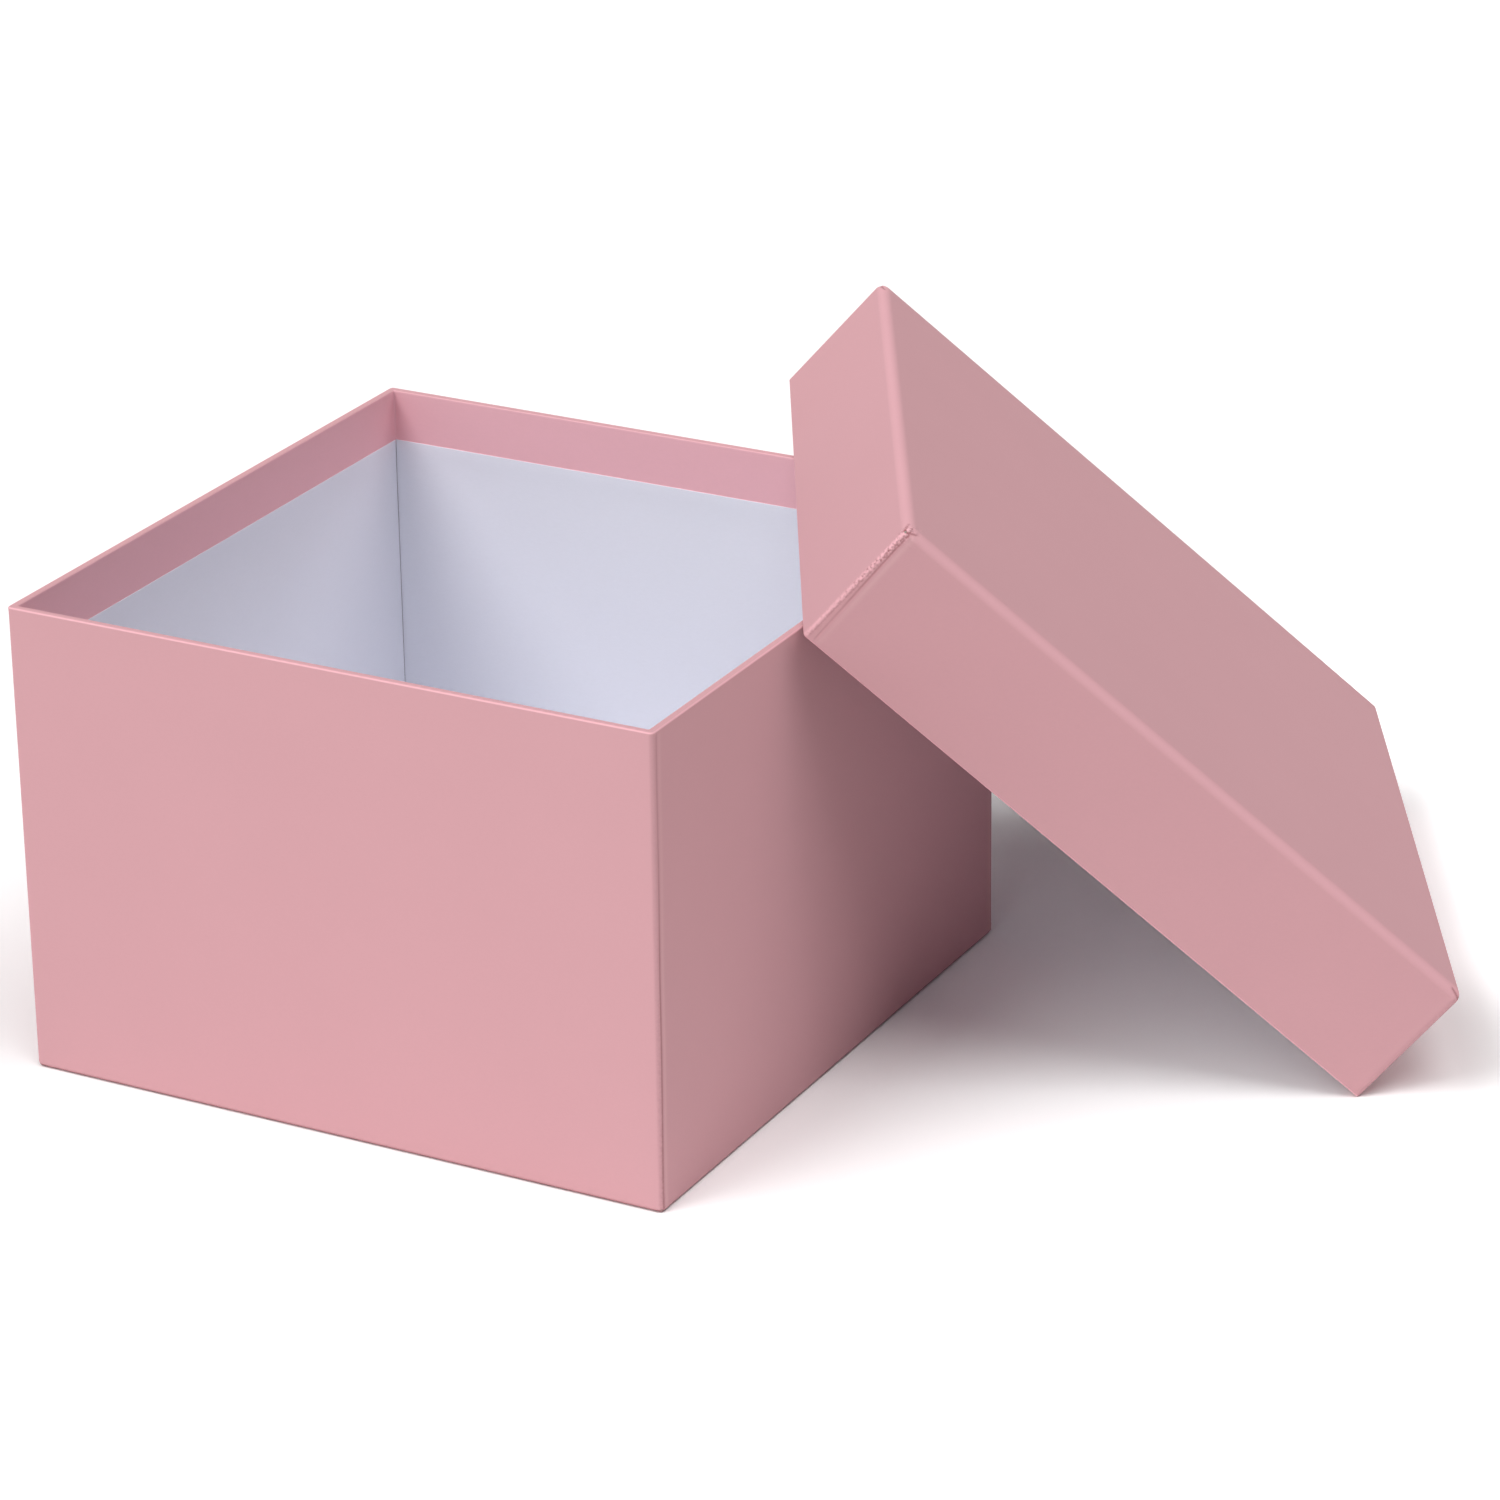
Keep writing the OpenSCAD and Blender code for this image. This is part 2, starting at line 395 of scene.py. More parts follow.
# Least radius of the cover's and the lining's upright corners on the inside
PAPER_CORNER = 0.35 * MM
LINING_CORNER = 0.8 * MM
# Length of the even steps on a wall
WALL_STEP = 4.5 * MM


def spaced(*distances):
    """Distances in millimetres at which a mesh has points."""
    return np.array(distances) * MM


# From an upright corner: where a lap's edge runs, where none does, and further out on both
AT_LAP = spaced(0.15, 0.3, 0.45, 0.6, 0.75, 0.9, 1.05, 1.2, 1.35, 1.5, 1.7, 1.9, 2.2, 2.6)
AT_EAR = spaced(0.3, 0.7, 1.2, 1.8)
BESIDE_CORNER = spaced(3.2, 4, 5, 6.5, 8.5, 11, 14)
# On a wall from the fold and from the rim, and on the panel from the fold
ABOVE_FOLD = spaced(0.15, 0.4, 0.7, 1, 1.3, 1.6, 2, 2.4, 2.8, 3.3, 4, 5, 6.5, 8.5)
BELOW_RIM = spaced(0.1, 0.4, 0.8, 1.3, 2, 3, 4.5, 7)
ON_PANEL = spaced(0.2, 0.5, 0.9, 1.4, 2, 3, 4.5, 6.5, 9, 12, 16, 22, 30, 40, 51, 63, 76, 88)
# On the lining's wall from its foot and from its upper edge
ABOVE_FOOT = spaced(0, 0.4, 1.2)
BELOW_EDGE = spaced(*np.arange(0, 4.4, 0.3))


def tray_half():
    """The tray stands at the origin as it is."""
    box = bpy.context.scene.flower_box
    return Half(
        width=box.tray_w,
        depth=box.tray_d,
        height=box.tray_h,
        fold=box.tray_fold,
        place=Matrix(),
        lap_x=True,
        worn=0,
        # Painted contact shade on the underside of the tray's fold, where it stands
        soiled=0.8,
        laps=(0.7, 0.6, 0.8, 1),
        rough=(0.1, 0.1, 0.1, 0.1),
        dents=[],
    )


def lid_half():
    """The lid is turned over and leans: its lower rim edge is on the ground, its upper rim on
    the tray, and the tray's back right corner reaches in until it is just short of the panel."""
    box = bpy.context.scene.flower_box
    paper = bpy.context.scene.flower_paper
    lean = bpy.context.scene.flower_lean
    wall = box.board + paper.cover + paper.turned
    width = box.tray_w + 2 * (wall + box.lid_play)
    depth = box.tray_d + 2 * (wall + box.lid_play)
    span = width - wall
    tilt = math.asin((box.tray_h + lean.gap) / span)
    hollow = box.lid_h - paper.cover - box.board - paper.lining
    reach = (hollow - lean.corner_play) / math.sin(tilt)
    half_w = box.tray_w / 2
    half_d = box.tray_d / 2
    corner_down = half_w * math.cos(lean.yaw) + half_d * math.sin(lean.yaw)
    corner_level = half_d * math.cos(lean.yaw) - half_w * math.sin(lean.yaw)
    foot = Vector(
        (
            corner_down - reach + span * math.cos(tilt),
            corner_level - lean.side,
            paper.rim_out * (1 - math.sin(tilt) - math.cos(tilt)),
        )
    )
    place = (
        Matrix.Rotation(lean.yaw, 4, "Z")
        @ Matrix.Translation(foot)
        @ Matrix.Rotation(tilt, 4, "Y")
        @ Matrix.Translation((-width / 2, 0, box.lid_h))
        @ Matrix.Rotation(math.pi, 4, "X")
    )
    return Half(
        width=width,
        depth=depth,
        height=box.lid_h,
        fold=box.lid_fold,
        place=place,
        lap_x=False,
        # The lid's folds are made paler: partly wear, partly painted highlight
        worn=0.34,
        soiled=0,
        laps=(0.15, 1, 0.6, 0.5),
        rough=(0.1, 1, 0.3, 0.2),
        dents=[Dent(x=91.5 * MM, y=depth / 2, z=13.7 * MM, width=5 * MM, depth=0.12 * MM)],
    )


def side_places(steps, half_length):
    """Distances from a side's start: the given steps, even ones between, the steps again."""
    full = 2 * half_length
    middle_count = max(2, round((full - 2 * steps[-1]) / WALL_STEP))
    middle = np.linspace(steps[-1], full - steps[-1], middle_count + 1)[1:-1]
    return np.concatenate([steps, middle, full - steps[::-1]])


def ring_columns(half, corner):
    """Columns anticlockwise from the +X side: each side's points, then an arc to the next.
    A side's point is a share t of its straight half length, and an arc's is an angle."""
    parts = []
    turn = np.linspace(0, 1, ARC_STEPS + 1)
    for side in range(4):
        lapped = (side % 2 == 0) == half.lap_x
        half_length = (half.width if side % 2 else half.depth) / 2 - corner
        fine = np.concatenate([AT_LAP if lapped else AT_EAR, BESIDE_CORNER])
        along = side_places(fine, half_length)
        share_t = along / half_length - 1
        near = np.minimum(along, 2 * half_length - along)
        side_q = corner + near if lapped else corner * (1 - QUARTER) - near
        arc_q = corner * (1 - QUARTER * (turn if lapped else 1 - turn))
        ones = np.ones_like(share_t)
        angle = np.concatenate([0 * ones, QUARTER * turn]) + QUARTER * side
        first = np.concatenate([ones, np.ones_like(turn)])
        second = np.concatenate([share_t, np.ones_like(turn)])
        c, s = round(math.cos(QUARTER * side)), round(math.sin(QUARTER * side))
        cx = c * first - s * second
        cy = s * first + c * second
        corner_id = np.where(second < 0, (side - 1) % 4, side)
        parts.append(
            (
                cx,
                cy,
                np.cos(angle),
                np.sin(angle),
                np.concatenate([side_q, arc_q]),
                corner_id,
                np.full(len(cx), side),
            )
        )
    return Columns(*(np.concatenate(arrays) for arrays in zip(*parts)))


def strip_columns(half, box, paper):
    """Columns of a strip whose ends meet in the corner at -X +Y: down the left side, along the
    front, up the right side and back along the rear to the left wall. The first end stops a
    gap short of the last."""
    ring = ring_columns(half, box.corner)
    left, rear, met = 2, 1, 1
    order = np.roll(np.arange(len(ring.side)), -np.argmax(ring.side == left))
    on_arc = np.minimum(abs(ring.cx), abs(ring.cy)) == 1
    order = order[~(on_arc & (ring.corner == met))[order]]
    inside = box.board + paper.cover
    straight_x = half.width / 2 - inside - LINING_CORNER
    straight_y = half.depth / 2 - inside - LINING_CORNER
    first_y = 1 + (LINING_CORNER - paper.lining - paper.lining_gap) / straight_y
    last_x = 1 + LINING_CORNER / straight_x
    first = Columns(-1, first_y, -1, 0, 0, met, left)
    last = Columns(-last_x, 1, 0, 1, 0, met, rear)
    parts = (([a], b[order], [c]) for a, b, c in zip(first, ring, last))
    return Columns(*(np.concatenate(part) for part in parts))


def line(start, end, normal, shares):
    """Section points on a straight line at the given shares, with one normal."""
    shares = np.asarray(shares)[:, None]
    points = np.array(start) * (1 - shares) + np.array(end) * shares
    return np.concatenate([points, np.tile(normal, (len(points), 1))], axis=1)


def bend(centre, radius, start, end, steps, facing=1):
    """Section points on an arc: centre + radius (cos a, sin a), with radial normals."""
    angle = np.radians(np.linspace(start, end, steps + 1))
    normal = np.stack([np.cos(angle), np.sin(angle)], axis=1)
    return np.concatenate([np.array(centre) + radius * normal, facing * normal], axis=1)


def graded(size, near_start, near_end, step):
    """Shares of a length: absolute steps near both ends and even ones between."""
    start = np.asarray(near_start) / size
    end = 1 - np.asarray(near_end)[::-1] / size
    count = max(2, round((end[0] - start[-1]) * size / step))
    return np.concatenate([start, np.linspace(start[-1], end[0], count + 1)[1:-1], end])


def cover_rows(half, box, paper):
    """Section of the cover paper from the middle of the panel outwards, round the fold, up the
    wall, over the rim and down inside to the cut edge, and back against the board."""
    fold, height = half.fold, half.height
    wall = box.board + paper.cover + paper.turned
    inside = wall - paper.turned
    fold_centre = (-fold, fold)
    wall_low, wall_high = (0, fold), (0, height - paper.rim_out)
    wall_shares = graded(wall_high[1] - wall_low[1], ABOVE_FOLD, BELOW_RIM, WALL_STEP)
    rim_left, rim_right = -(wall - paper.rim_in), -paper.rim_out
    down_high = (-wall, height - paper.rim_in)
    down_low = (-wall, height - paper.turn_in)
    front = np.concatenate(
        [
            bend(fold_centre, fold, -90, 0, FOLD_STEPS),
            line(wall_low, wall_high, (1, 0), wall_shares),
            bend((rim_right, height - paper.rim_out), paper.rim_out, 0, 90, RIM_STEPS),
            line((rim_right, height), (rim_left, height), (0, 1), (0.2, 0.5, 0.8)),
            bend((rim_left, height - paper.rim_in), paper.rim_in, 90, 180, RIM_STEPS),
            line(down_high, down_low, (-1, 0), (0.03, 0.1, 0.25, 0.5, 0.75, 0.9, 0.97, 1)),
        ]
    )
    board_top = height - paper.cover
    back = np.concatenate(
        [
            line((-inside, down_low[1]), (-inside, board_top), (1, 0), (0, 0.5, 1)),
            line((-paper.cover, board_top), (-paper.cover, fold), (-1, 0), (0, 0.5, 1)),
            bend(fold_centre, fold - paper.cover, -15, -90, RIM_STEPS, facing=-1),
        ]
    )
    panel_k = 1 - ON_PANEL[::-1] / (half.width / 2 - fold)
    panel = np.tile((-fold, 0, 0, -1), (len(panel_k), 1))
    panel_back = np.tile((-fold, paper.cover, 0, 1), (2, 1))
    section = np.concatenate([panel, front, back, panel_back])
    scale = np.concatenate([panel_k, np.ones(len(front) + len(back)), (0.7, 0.2)])
    steps = np.hypot(np.diff(section[:, 0]), np.diff(section[:, 1]))
    way = np.concatenate([[0], np.cumsum(steps)]) - (1 - scale) * (half.width / 2 - fold)
    outer_count = len(panel) + len(front)
    outer = (np.arange(len(section)) < outer_count).astype(float)
    return Rows(*section.T, scale, way, outer)


def lining_wall(half, box, paper):
    """Section of the lining on a wall: up its back, which steps in over the turned-in cover
    paper, and down its front. Row r and the row that mirrors it are a paper's thickness apart."""
    inside = box.board + paper.cover
    cut = half.height - paper.turn_in
    ramp = 6 * MM
    low, high = inside, cut + paper.lining_lap
    shares = graded(high - low, ABOVE_FOOT, BELOW_EDGE, WALL_STEP)
    z = low + (high - low) * shares
    u = -inside - paper.turned * smooth(cut - ramp, cut, z)
    back = np.stack([u, z, np.ones_like(z), 0 * z], axis=1)
    front = np.stack([u - paper.lining, z, -np.ones_like(z), 0 * z], axis=1)[::-1]
    return np.concatenate([back, front])


def lining_rows(half, box, paper, with_panel):
    """Rows of the lining: a wall's section alone, or one sheet with the panel too, which turns
    up at the walls in a small arc."""
    wall = lining_wall(half, box, paper)
    if not with_panel:
        ones = np.ones(len(wall))
        return Rows(*wall.T, ones, 0 * ones, ones)
    low = wall[-1, 1]
    turn = 1.2 * MM
    back, front = np.array_split(wall, 2)
    front = front[front[:, 1] > low + paper.lining + turn]
    face = front[-1, 0]
    floor = low + paper.lining
    fold = bend((face - turn, floor + turn), turn, 0, -90, LINING_STEPS, facing=-1)
    panel_k = (0.98, 0.95, 0.9, 0.8, 0.65, 0.5, 0.35, 0.2, 0.08)
    under = np.tile((back[0, 0], low, 0, -1), (2, 1))
    panel = np.tile((face - turn, floor, 0, 1), (len(panel_k), 1))
    section = np.concatenate([under, back, front, fold, panel])
    middle = np.ones(len(section) - len(under) - len(panel_k))
    scale = np.concatenate([(0.2, 0.7), middle, panel_k])
    return Rows(*section.T, scale, 0 * scale, 0 * scale)


def swept(half, rows, columns, corner, least_corner, raised=0):
    """Surface points: row r, column c is k (centre share x straight half side + radius x
    normal), with the corner's radius falling as the row goes in, and any raise along the
    section's own normal."""
    radius = np.maximum(corner + rows.u, least_corner)[:, None]
    straight_x = half.width / 2 + rows.u[:, None] - radius
    straight_y = half.depth / 2 + rows.u[:, None] - radius
    scale = rows.k[:, None]
    side = raised * rows.nu[:, None]
    x = scale * (columns.cx * straight_x + columns.nx * radius) + side * columns.nx
    y = scale * (columns.cy * straight_y + columns.ny * radius) + side * columns.ny
    z = rows.z[:, None] + raised * rows.nz[:, None] + 0 * x
    return np.stack([x, y, z], axis=-1)


def smooth(low, high, x):
    """Rises from 0 at low to 1 at high, level at both ends."""
    t = np.clip((x - low) / (high - low), 0, 1)
    return t * t * (3 - 2 * t)


def bell(x, width):
    """A bell of height 1 and the given half width."""
    return np.exp(-((x / width) ** 2))


# ---- Papered surface ----


def ripples(points, half, seed):
    """Slow waves: a sum of sines over the half's three coordinates, still at every edge."""
    draw = np.random.default_rng(seed)
    waves, wave_length, quiet = 7, 70 * MM, 18 * MM
    total = 0
    for _ in range(waves):
        wave = draw.normal(size=3) * 2 * math.pi / wave_length
        total = total + np.sin(points @ wave + draw.uniform(0, 2 * math.pi)) / waves
    x, y, z = np.moveaxis(points, -1, 0)
    in_x = half.width / 2 - abs(x)
    in_y = half.depth / 2 - abs(y)
    wall_mask = smooth(0, quiet, z) * smooth(0, quiet, half.height - z)
    upright = smooth(0, quiet, np.maximum(in_x, in_y))
    panel_mask = smooth(0, quiet, np.minimum(in_x, in_y))
    on_panel = z < half.fold * 0.5
    return total * np.where(on_panel, panel_mask, wall_mask * upright)


def lap_edge(half, rows, columns, seed):
    """Way from the corner at which the lap ends: a straight slant from low to top, plus a sine
    of the height, plus a constant where the lap is rough."""
    draw = np.random.default_rng(seed)
    top = (draw.uniform(1.8, 2.4, 4) * MM)[columns.corner]
    low = (draw.uniform(0.9, 1.5, 4) * MM)[columns.corner]
    phase = draw.uniform(0, 2 * math.pi, 4)[columns.corner]
    waver_width, waver_length, rough_width = 0.1 * MM, 9 * MM, 0.8 * MM
    up = (rows.z / half.height)[:, None]
    waver = waver_width * np.sin(rows.z[:, None] / waver_length + phase)
    wider = rough_width * np.array(half.rough)[columns.corner]
    return low + (top - low) * up + waver + wider


def stroke(q, v, start, end, width):
    """A bell across a straight stroke: its height falls with the distance to the segment."""
    step = (end[0] - start[0], end[1] - start[1])
    along = ((q - start[0]) * step[0] + (v - start[1]) * step[1]) / (step[0] ** 2 + step[1] ** 2)
    along = np.clip(along, 0, 1)
    return bell(np.hypot(q - start[0] - along * step[0], v - start[1] - along * step[1]), width)


def corner_tucks(half, rows, columns, seed):
    """Where fold and corner meet, the paper is tucked: one short dark line bent round the
    corner, and a few fine wrinkles beside it. Places are ways from the corner and the fold."""
    draw = np.random.default_rng(seed)
    tuck_width, wrinkle_width = 0.34 * MM, 0.3 * MM
    q = columns.q + 0 * rows.v[:, None]
    v = rows.v[:, None] + 0 * q
    turn = half.fold * QUARTER
    tuck = 0 * q
    wrinkle = 0 * q
    for corner in range(4):
        here = (columns.corner == corner) * rows.outer[:, None]
        low = turn * draw.uniform(0.7, 0.85)
        bow = (0.4 * MM, low)
        for start, end in (((-0.8 * turn, 0.6 * low), bow), (bow, (0.75 * turn, 0.62 * low))):
            tuck = np.maximum(tuck, here * stroke(q, v, start, end, tuck_width))
        for number in range(4):
            level = low + (0.75 + 0.85 * number) * MM * draw.uniform(0.85, 1.1)
            start = (draw.uniform(0.8, 1.6) * MM, level)
            end = (draw.uniform(3, 5) * MM, level + draw.uniform(-0.5, 0.2) * MM)
            wrinkle = wrinkle + here * stroke(q, v, start, end, wrinkle_width)
    return tuck, wrinkle


def cover_relief(half, rows, columns, points, paper, seed):
    """Raise of the outer face and its marks. The wall paper of a lapped side lies over the ear,
    so the ear is one step lower between the corner and the lap's edge, with a narrow gap. The
    lap's edge fades towards the rim. Every mark is a product of steps and bells over the way
    from the corner, the way from the fold and the height."""
    gap_depth, tuck_depth, wrinkle_height = 0.04 * MM, 0.2 * MM, 0.1 * MM
    outer = rows.outer[:, None]
    up = rows.z / half.height
    on_wall = smooth(0, half.fold, rows.z) * smooth(0, 2 * MM, half.height - rows.z)
    on_wall = (on_wall * rows.outer * (rows.nu > 0.5))[:, None]
    lap = on_wall * np.array(half.laps)[columns.corner]
    rough = np.array(half.rough)[columns.corner]
    edge = lap_edge(half, rows, columns, seed)
    past = columns.q - edge

    ear = smooth(-0.6 * MM, 0.3 * MM, columns.q) * (1 - smooth(-0.1 * MM, 0.1 * MM, past))
    gap = bell(past + 0.12 * MM, 0.2 * MM)
    tuck, wrinkle = corner_tucks(half, rows, columns, seed)
    bent = wrinkle_height * wrinkle - tuck_depth * tuck
    raised = paper.ripple * ripples(points, half, seed) * outer
    raised = raised - lap * (paper.lap_step * ear + gap_depth * gap)
    raised = raised + bent * np.sqrt(half.laps)[columns.corner]
    for dent in half.dents:
        far = np.linalg.norm(points - (dent.x, dent.y, dent.z), axis=-1)
        raised = raised - dent.depth * bell(far, dent.width) * outer

    # Pale: painted highlight on the turned-in band and over the rim's outer edge, wear and painted
    # highlight at the fold, wear at a rough lap
    turned = smooth(0.3, 0.9, np.where(rows.nu < -0.3, -rows.nu, 0))
    rim = np.where((rows.nz > 0.1) & (rows.nu > 0.1), 2 * rows.nu * rows.nz, 0)
    fold = np.where((rows.nz < 0) & (rows.nu > 0), -2 * rows.nu * rows.nz, 0)
    pale = ((turned + rim + half.worn * fold) * rows.outer)[:, None]
    pale = pale + 0.5 * rough * on_wall * bell(columns.q - 0.3 * MM, 0.5 * MM)
    # Worn: a strip along a rough lap, less towards the rim, and a patch where it meets the fold
    strip = bell(columns.q - 0.6 * MM, 1 * MM) * on_wall * rough
    strip_fade = (1 - 0.8 * smooth(0.1, 0.8, up))[:, None]
    patch = bell(columns.q - 0.3 * MM, 2 * MM) * bell(rows.v - half.fold, 3.5 * MM)[:, None]
    # Gap: painted shade beside the lap's edge, in the tucks and in a crease on the strip, and
    # painted contact shade under the fold
    seen = lap * (1 - 0.5 * smooth(0.4, 0.9, up))[:, None]
    gap_line = np.maximum(0.6 * seen * bell(past + 0.15 * MM, 0.3 * MM), 0.75 * tuck)
    crease = 0.45 * strip * bell(columns.q - 1.3 * MM, 0.3 * MM)
    # Painted contact shade on the underside of the fold, where the tray stands on the floor
    fold_underside_shade = half.soiled * smooth(0.1, 0.5, -rows.nz) * bell(rows.v, 1.5 * half.fold) * rows.outer
    marks = {
        "pale": pale,
        "worn": np.maximum(strip * strip_fade, patch * rough * outer),
        "gap": np.maximum(gap_line + crease, fold_underside_shade[:, None]),
        "cut": 0.25 * seen * bell(past - 1.3 * MM, 0.7 * MM),
    }
    return raised, marks


# ---- Meshes ----

# Bend between two faces past which their edge is drawn sharp
SHARP_ANGLE = math.radians(50)


def grid_faces(row_count, column_count, round_rows=False, round_columns=True):
    """Quads between neighbouring rows and columns, each way closed on itself or open."""
    row = np.arange(row_count if round_rows else row_count - 1)[:, None]
    column = np.arange(column_count if round_columns else column_count - 1)[None, :]
    nxt = (column + 1) % column_count
    above = (row + 1) % row_count
    quads = [
        row * column_count + column,
        row * column_count + nxt,
        above * column_count + nxt,
        above * column_count + column,
    ]
    return np.stack(quads, axis=-1).reshape(-1, 4)


def closed_sheet(grid):
    """Vertices and faces of a swept grid, closed by a pole before its first row and one after
    its last. A pole is the mean of the row beside it."""
    rows, columns = grid.shape[:2]
    start = grid[0].mean(axis=0)
    end = grid[-1].mean(axis=0)
    points = np.concatenate([grid.reshape(-1, 3), [start, end]])
    column = np.arange(columns)
    nxt = (column + 1) % columns
    start_pole = np.full(columns, rows * columns)
    last = (rows - 1) * columns
    fans = [
        np.stack([start_pole, nxt, column], axis=-1),
        np.stack([last + column, last + nxt, start_pole + 1], axis=-1),
    ]
    return points, grid_faces(rows, columns).tolist() + np.concatenate(fans).tolist()


def open_strip(grid):
    """Vertices and faces of a swept grid whose section is closed and whose way is open. An end
    is capped by quads between row r and the row that mirrors it."""
    rows, columns = grid.shape[:2]
    row = np.arange(rows // 2 - 1)
    ring = np.stack([row, row + 1, rows - 2 - row, rows - 1 - row], axis=-1) * columns
    caps = np.concatenate([ring[:, ::-1], ring + columns - 1])
    faces = grid_faces(rows, columns, round_rows=True, round_columns=False)
    return grid.reshape(-1, 3), np.concatenate([faces, caps]).tolist()


def placed(points, place):
    """Points turned and moved by a matrix."""
    return points @ np.array(place.to_3x3()).T + np.array(place.translation)


def add_piece(name, points, faces, marks, material):
    """A mesh object at the origin, with its place in its points and its marks as attributes."""
    mesh = bpy.data.meshes.new(name)
    mesh.from_pydata(points, [], faces)
    for mark, values in marks.items():
        filled = np.zeros(len(points))
        filled[: values.size] = values.ravel()
        mesh.attributes.new(mark, "FLOAT", "POINT").data.foreach_set("value", filled)
    mesh.polygons.foreach_set("use_smooth", np.ones(len(mesh.polygons), dtype=bool))
    mesh.set_sharp_from_angle(angle=SHARP_ANGLE)
    mesh.materials.append(material)
    mesh.validate()
    piece = bpy.data.objects.new(name, mesh)
    bpy.context.scene.collection.objects.link(piece)
    return piece


def check_against(points, node):
    """Raises an error where a sheet's own place and size leave the solid that it replaces."""
    low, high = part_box(node)
    miss = max(np.abs(points.min(0) - low).max(), np.abs(points.max(0) - high).max())
    allowed = 0.5 * MM
    if miss > allowed:
        raise RuntimeError(f"{node} is {miss / MM:.2f} mm off its solid")


def cover_piece(name, node, body, half, seed):
    """One sheet of cover paper: outside, folds, rim, turn-in and the back against the board."""
    scene = bpy.context.scene
    box, paper = scene.flower_box, scene.flower_paper
    columns = ring_columns(half, box.corner)
    rows = cover_rows(half, box, paper)
    flat = swept(half, rows, columns, box.corner, PAPER_CORNER)
    raised, marks = cover_relief(half, rows, columns, flat, paper, seed)
    grid = swept(half, rows, columns, box.corner, PAPER_CORNER, raised)
    points, faces = closed_sheet(grid)
    points = placed(points, half.place)
    check_against(points, node)
    colours = scene.flower_colours
    material = paper_material(name, colours.cover, colours, marked=True)
    piece = add_piece(name, points, faces, marks, material)
    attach(piece, body)
    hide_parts(node)


def lining_piece(name, node, body, half, with_panel):
    """White lining paper: an open strip round the walls, or one sheet with the panel."""
    scene = bpy.context.scene
    box, paper = scene.flower_box, scene.flower_paper
    rows = lining_rows(half, box, paper, with_panel)
    columns = ring_columns(half, box.corner) if with_panel else strip_columns(half, box, paper)
    grid = swept(half, rows, columns, box.corner, LINING_CORNER)
    points, faces = closed_sheet(grid) if with_panel else open_strip(grid)
    points = placed(points, half.place)
    check_against(points, node)
    colours = scene.flower_colours
    material = paper_material(name, colours.lining, colours)
    piece = add_piece(name, points, faces, {}, material)
    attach(piece, body)
    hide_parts(node)


# ---- Operators ----


class FLOWERBOX_OT_tray_cover(bpy.types.Operator):
    """Wrap the tray in its cover paper"""

    bl_idname = "flowerbox.tray_cover"
    bl_label = "Tray cover"

    def execute(self, context):
        cover_piece("tray_cover", "tray_wrap", "tray", tray_half(), 3)
        return {"FINISHED"}


class FLOWERBOX_OT_lid_cover(bpy.types.Operator):
    """Wrap the lid in its cover paper"""

    bl_idname = "flowerbox.lid_cover"
    bl_label = "Lid cover"

    def execute(self, context):
        cover_piece("lid_cover", "lid_wrap", "lid", lid_half(), 8)
        return {"FINISHED"}


class FLOWERBOX_OT_linings(bpy.types.Operator):
    """Line the tray's walls with a strip and the lid with one sheet"""

    bl_idname = "flowerbox.linings"
    bl_label = "Linings"

    def execute(self, context):
        lining_piece("tray_lining", "tray_wall_liner", "tray", tray_half(), False)
        lining_piece("lid_lining", "lid_liner", "lid", lid_half(), True)
        return {"FINISHED"}


class FLOWERBOX_OT_board(bpy.types.Operator):
    """Finish the greyboard, the stays and the linings that the model already holds"""

    bl_idname = "flowerbox.board"
    bl_label = "Board, stays and linings"

    def execute(self, context):
        colours = context.scene.flower_colours
        finishes = {
            "board": greyboard_material(colours),
            "stay": paper_material("stay_paper", colours.stay, colours),
            "liner": paper_material("lining_paper", colours.lining, colours),
        }
        for node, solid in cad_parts.items():
            for word, material in finishes.items():
                if word in node:
                    solid.data.materials.clear()
                    solid.data.materials.append(material)
        return {"FINISHED"}


class FLOWERBOX_OT_studio(bpy.types.Operator):
    """Set up the floor, the light and the camera"""

    bl_idname = "flowerbox.studio"
    bl_label = "Studio"

    def execute(self, context):
        studio = context.scene.flower_studio
        add_floor(studio)
        add_light(context.scene, studio)
        add_camera(context.scene, studio)
        context.scene.view_settings.view_transform = "Standard"
        return {"FINISHED"}


# ---- Studio ----

# Where the floor's painted light begins and is full, down the lid's slope and towards the back; it
# pales the lid's shadow there
PAINTED_LIGHT_DOWNHILL = (225 * MM, 285 * MM)
PAINTED_LIGHT_BACK = (100 * MM, 150 * MM)


def seen_directly(paint):
    """1 where the camera, a reflection or a view through glass meets the surface."""
    rays = paint.node("ShaderNodeLightPath")
    outputs = rays.socket.node.outputs
    total = Value(paint, outputs["Is Camera Ray"])
    for name in ("Is Glossy Ray", "Is Transmission Ray"):
        total = total + Value(paint, outputs[name])
    return paint.node("ShaderNodeClamp", {"Value": total})


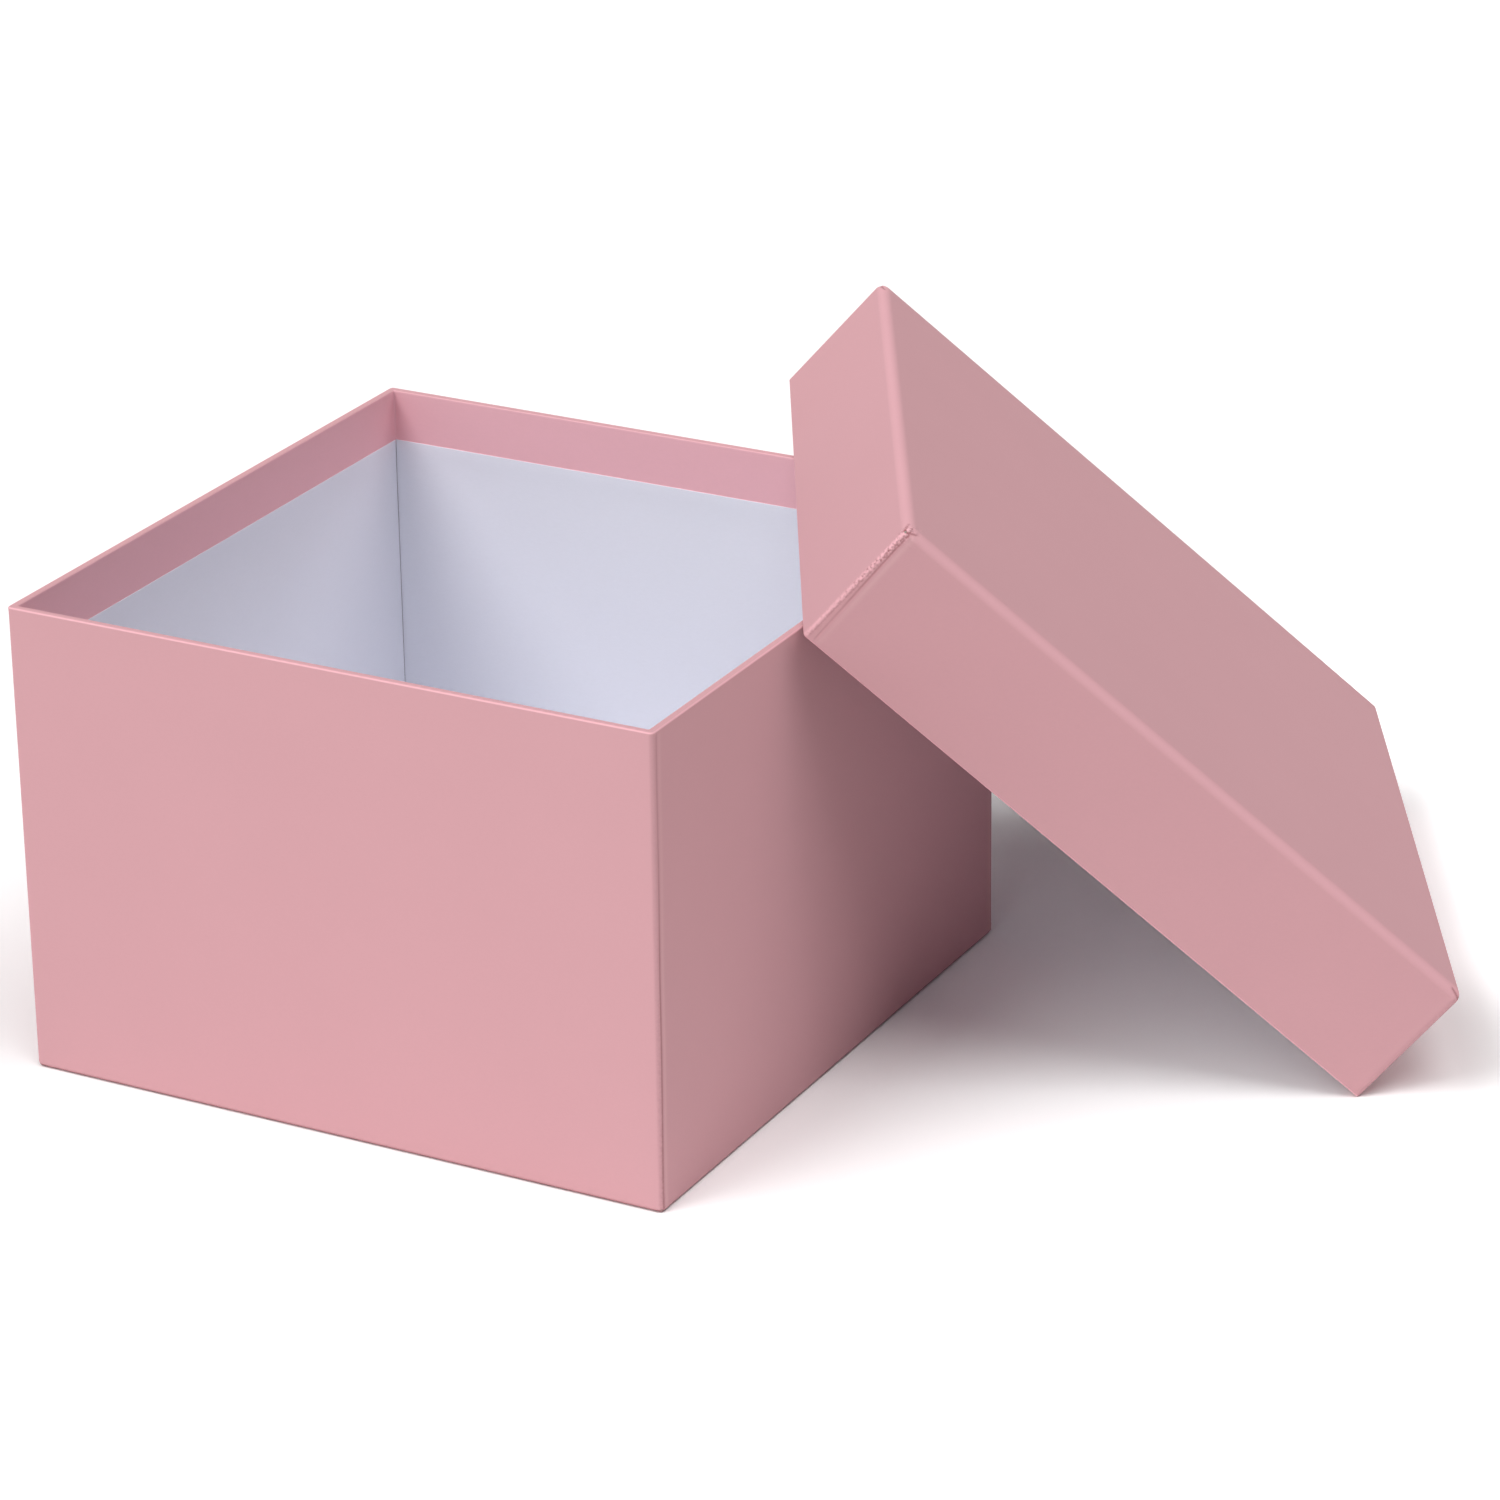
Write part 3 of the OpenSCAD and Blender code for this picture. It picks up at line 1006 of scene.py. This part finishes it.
def add_floor(studio):
    """A disc of near-white floor just under the box: rings of growing radius round one middle. To
    the camera it is brighter than to the light, and past the lid's foot, behind the lid, it has
    painted light that pales the lid's shadow."""
    sides = 96
    drop = 0.05 * MM
    angle = np.arange(sides) * 2 * math.pi / sides
    radius = np.geomspace(0.05, studio.floor_radius, 12)[:, None]
    x, y = radius * np.cos(angle), radius * np.sin(angle)
    grid = np.stack([x, y, np.full_like(x, -drop)], axis=-1)
    points = np.concatenate([grid.reshape(-1, 3), [(0, 0, -drop)]])
    column = np.arange(sides)
    fan = np.stack([np.full(sides, len(points) - 1), column, (column + 1) % sides], axis=-1)
    faces = grid_faces(len(radius), sides)[:, ::-1].tolist() + fan.tolist()
    material = bpy.data.materials.new("floor")
    paint = Paint(material)
    place = paint.node("ShaderNodeTexCoord", output=3)
    axes = paint.node("ShaderNodeSeparateXYZ", {0: place}).socket.node.outputs
    right, back = Value(paint, axes["X"]), Value(paint, axes["Y"])
    yaw = bpy.context.scene.flower_lean.yaw
    downhill = right * math.cos(yaw) + back * math.sin(yaw)
    # Painted light: behind the lid the floor is brighter to the camera, which pales the lid's
    # shadow there
    behind = paint.ramp(downhill, *PAINTED_LIGHT_DOWNHILL) * paint.ramp(back, *PAINTED_LIGHT_BACK)
    gain = (behind * studio.floor_painted_light + studio.floor_gain - 1) * seen_directly(paint) + 1
    tone = paint.scaled(studio.floor_colour, gain)
    paint.finish(paint.node("ShaderNodeBsdfDiffuse", {"Color": tone}))
    add_piece("floor", points, faces, {}, material)


def add_light(scene, studio):
    """A white surround that lights nothing, and wide soft lamps from several sides."""
    scene.world = bpy.data.worlds.new("studio")
    paint = Paint(scene.world)
    strength = seen_directly(paint)
    sky = paint.node("ShaderNodeBackground", {"Color": (1, 1, 1, 1), "Strength": strength})
    paint.finish(sky, "ShaderNodeOutputWorld")
    for name in LAMPS:
        around, up, strength = getattr(studio, name)
        sun = bpy.data.lights.new(name, "SUN")
        sun.energy = strength
        sun.angle = studio.lamp_angle
        holder = bpy.data.objects.new(name, sun)
        holder.rotation_euler = (QUARTER - math.radians(up), 0, math.radians(around))
        scene.collection.objects.link(holder)


def add_camera(scene, studio):
    """A long lens from the front right, above the rim."""
    camera = bpy.data.cameras.new("camera")
    camera.lens = studio.lens
    holder = bpy.data.objects.new("camera", camera)
    holder.location = studio.camera_at
    holder.rotation_euler = Euler(studio.camera_turn)
    scene.collection.objects.link(holder)
    scene.camera = holder


# ---- Panel and registration ----


STEPS = (
    FLOWERBOX_OT_tray_cover,
    FLOWERBOX_OT_lid_cover,
    FLOWERBOX_OT_linings,
    FLOWERBOX_OT_board,
    FLOWERBOX_OT_studio,
)


class FLOWERBOX_PT_panel(bpy.types.Panel):
    """Lists the box's settings and steps"""

    bl_idname = "FLOWERBOX_PT_panel"
    bl_label = "Flower Box"
    bl_space_type = "VIEW_3D"
    bl_region_type = "UI"
    bl_category = "Flower Box"

    def draw(self, context):
        for name in SETTINGS:
            group = getattr(context.scene, name)
            column = self.layout.column(align=True)
            for prop in group.bl_rna.properties:
                if prop.identifier not in ("rna_type", "name"):
                    column.prop(group, prop.identifier)
        for step in STEPS:
            self.layout.operator(step.bl_idname)


def register():
    for group in SETTINGS.values():
        bpy.utils.register_class(group)
    for name, group in SETTINGS.items():
        setattr(bpy.types.Scene, name, PointerProperty(type=group))
    for cls in (*STEPS, FLOWERBOX_PT_panel):
        bpy.utils.register_class(cls)


def unregister():
    for cls in (FLOWERBOX_PT_panel, *reversed(STEPS)):
        bpy.utils.unregister_class(cls)
    for name, group in SETTINGS.items():
        delattr(bpy.types.Scene, name)
        bpy.utils.unregister_class(group)


def main():
    """Registers the add-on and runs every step."""
    register()
    for step in STEPS:
        group, name = step.bl_idname.split(".")
        getattr(getattr(bpy.ops, group), name)()


if __name__ == "__main__":
    main()
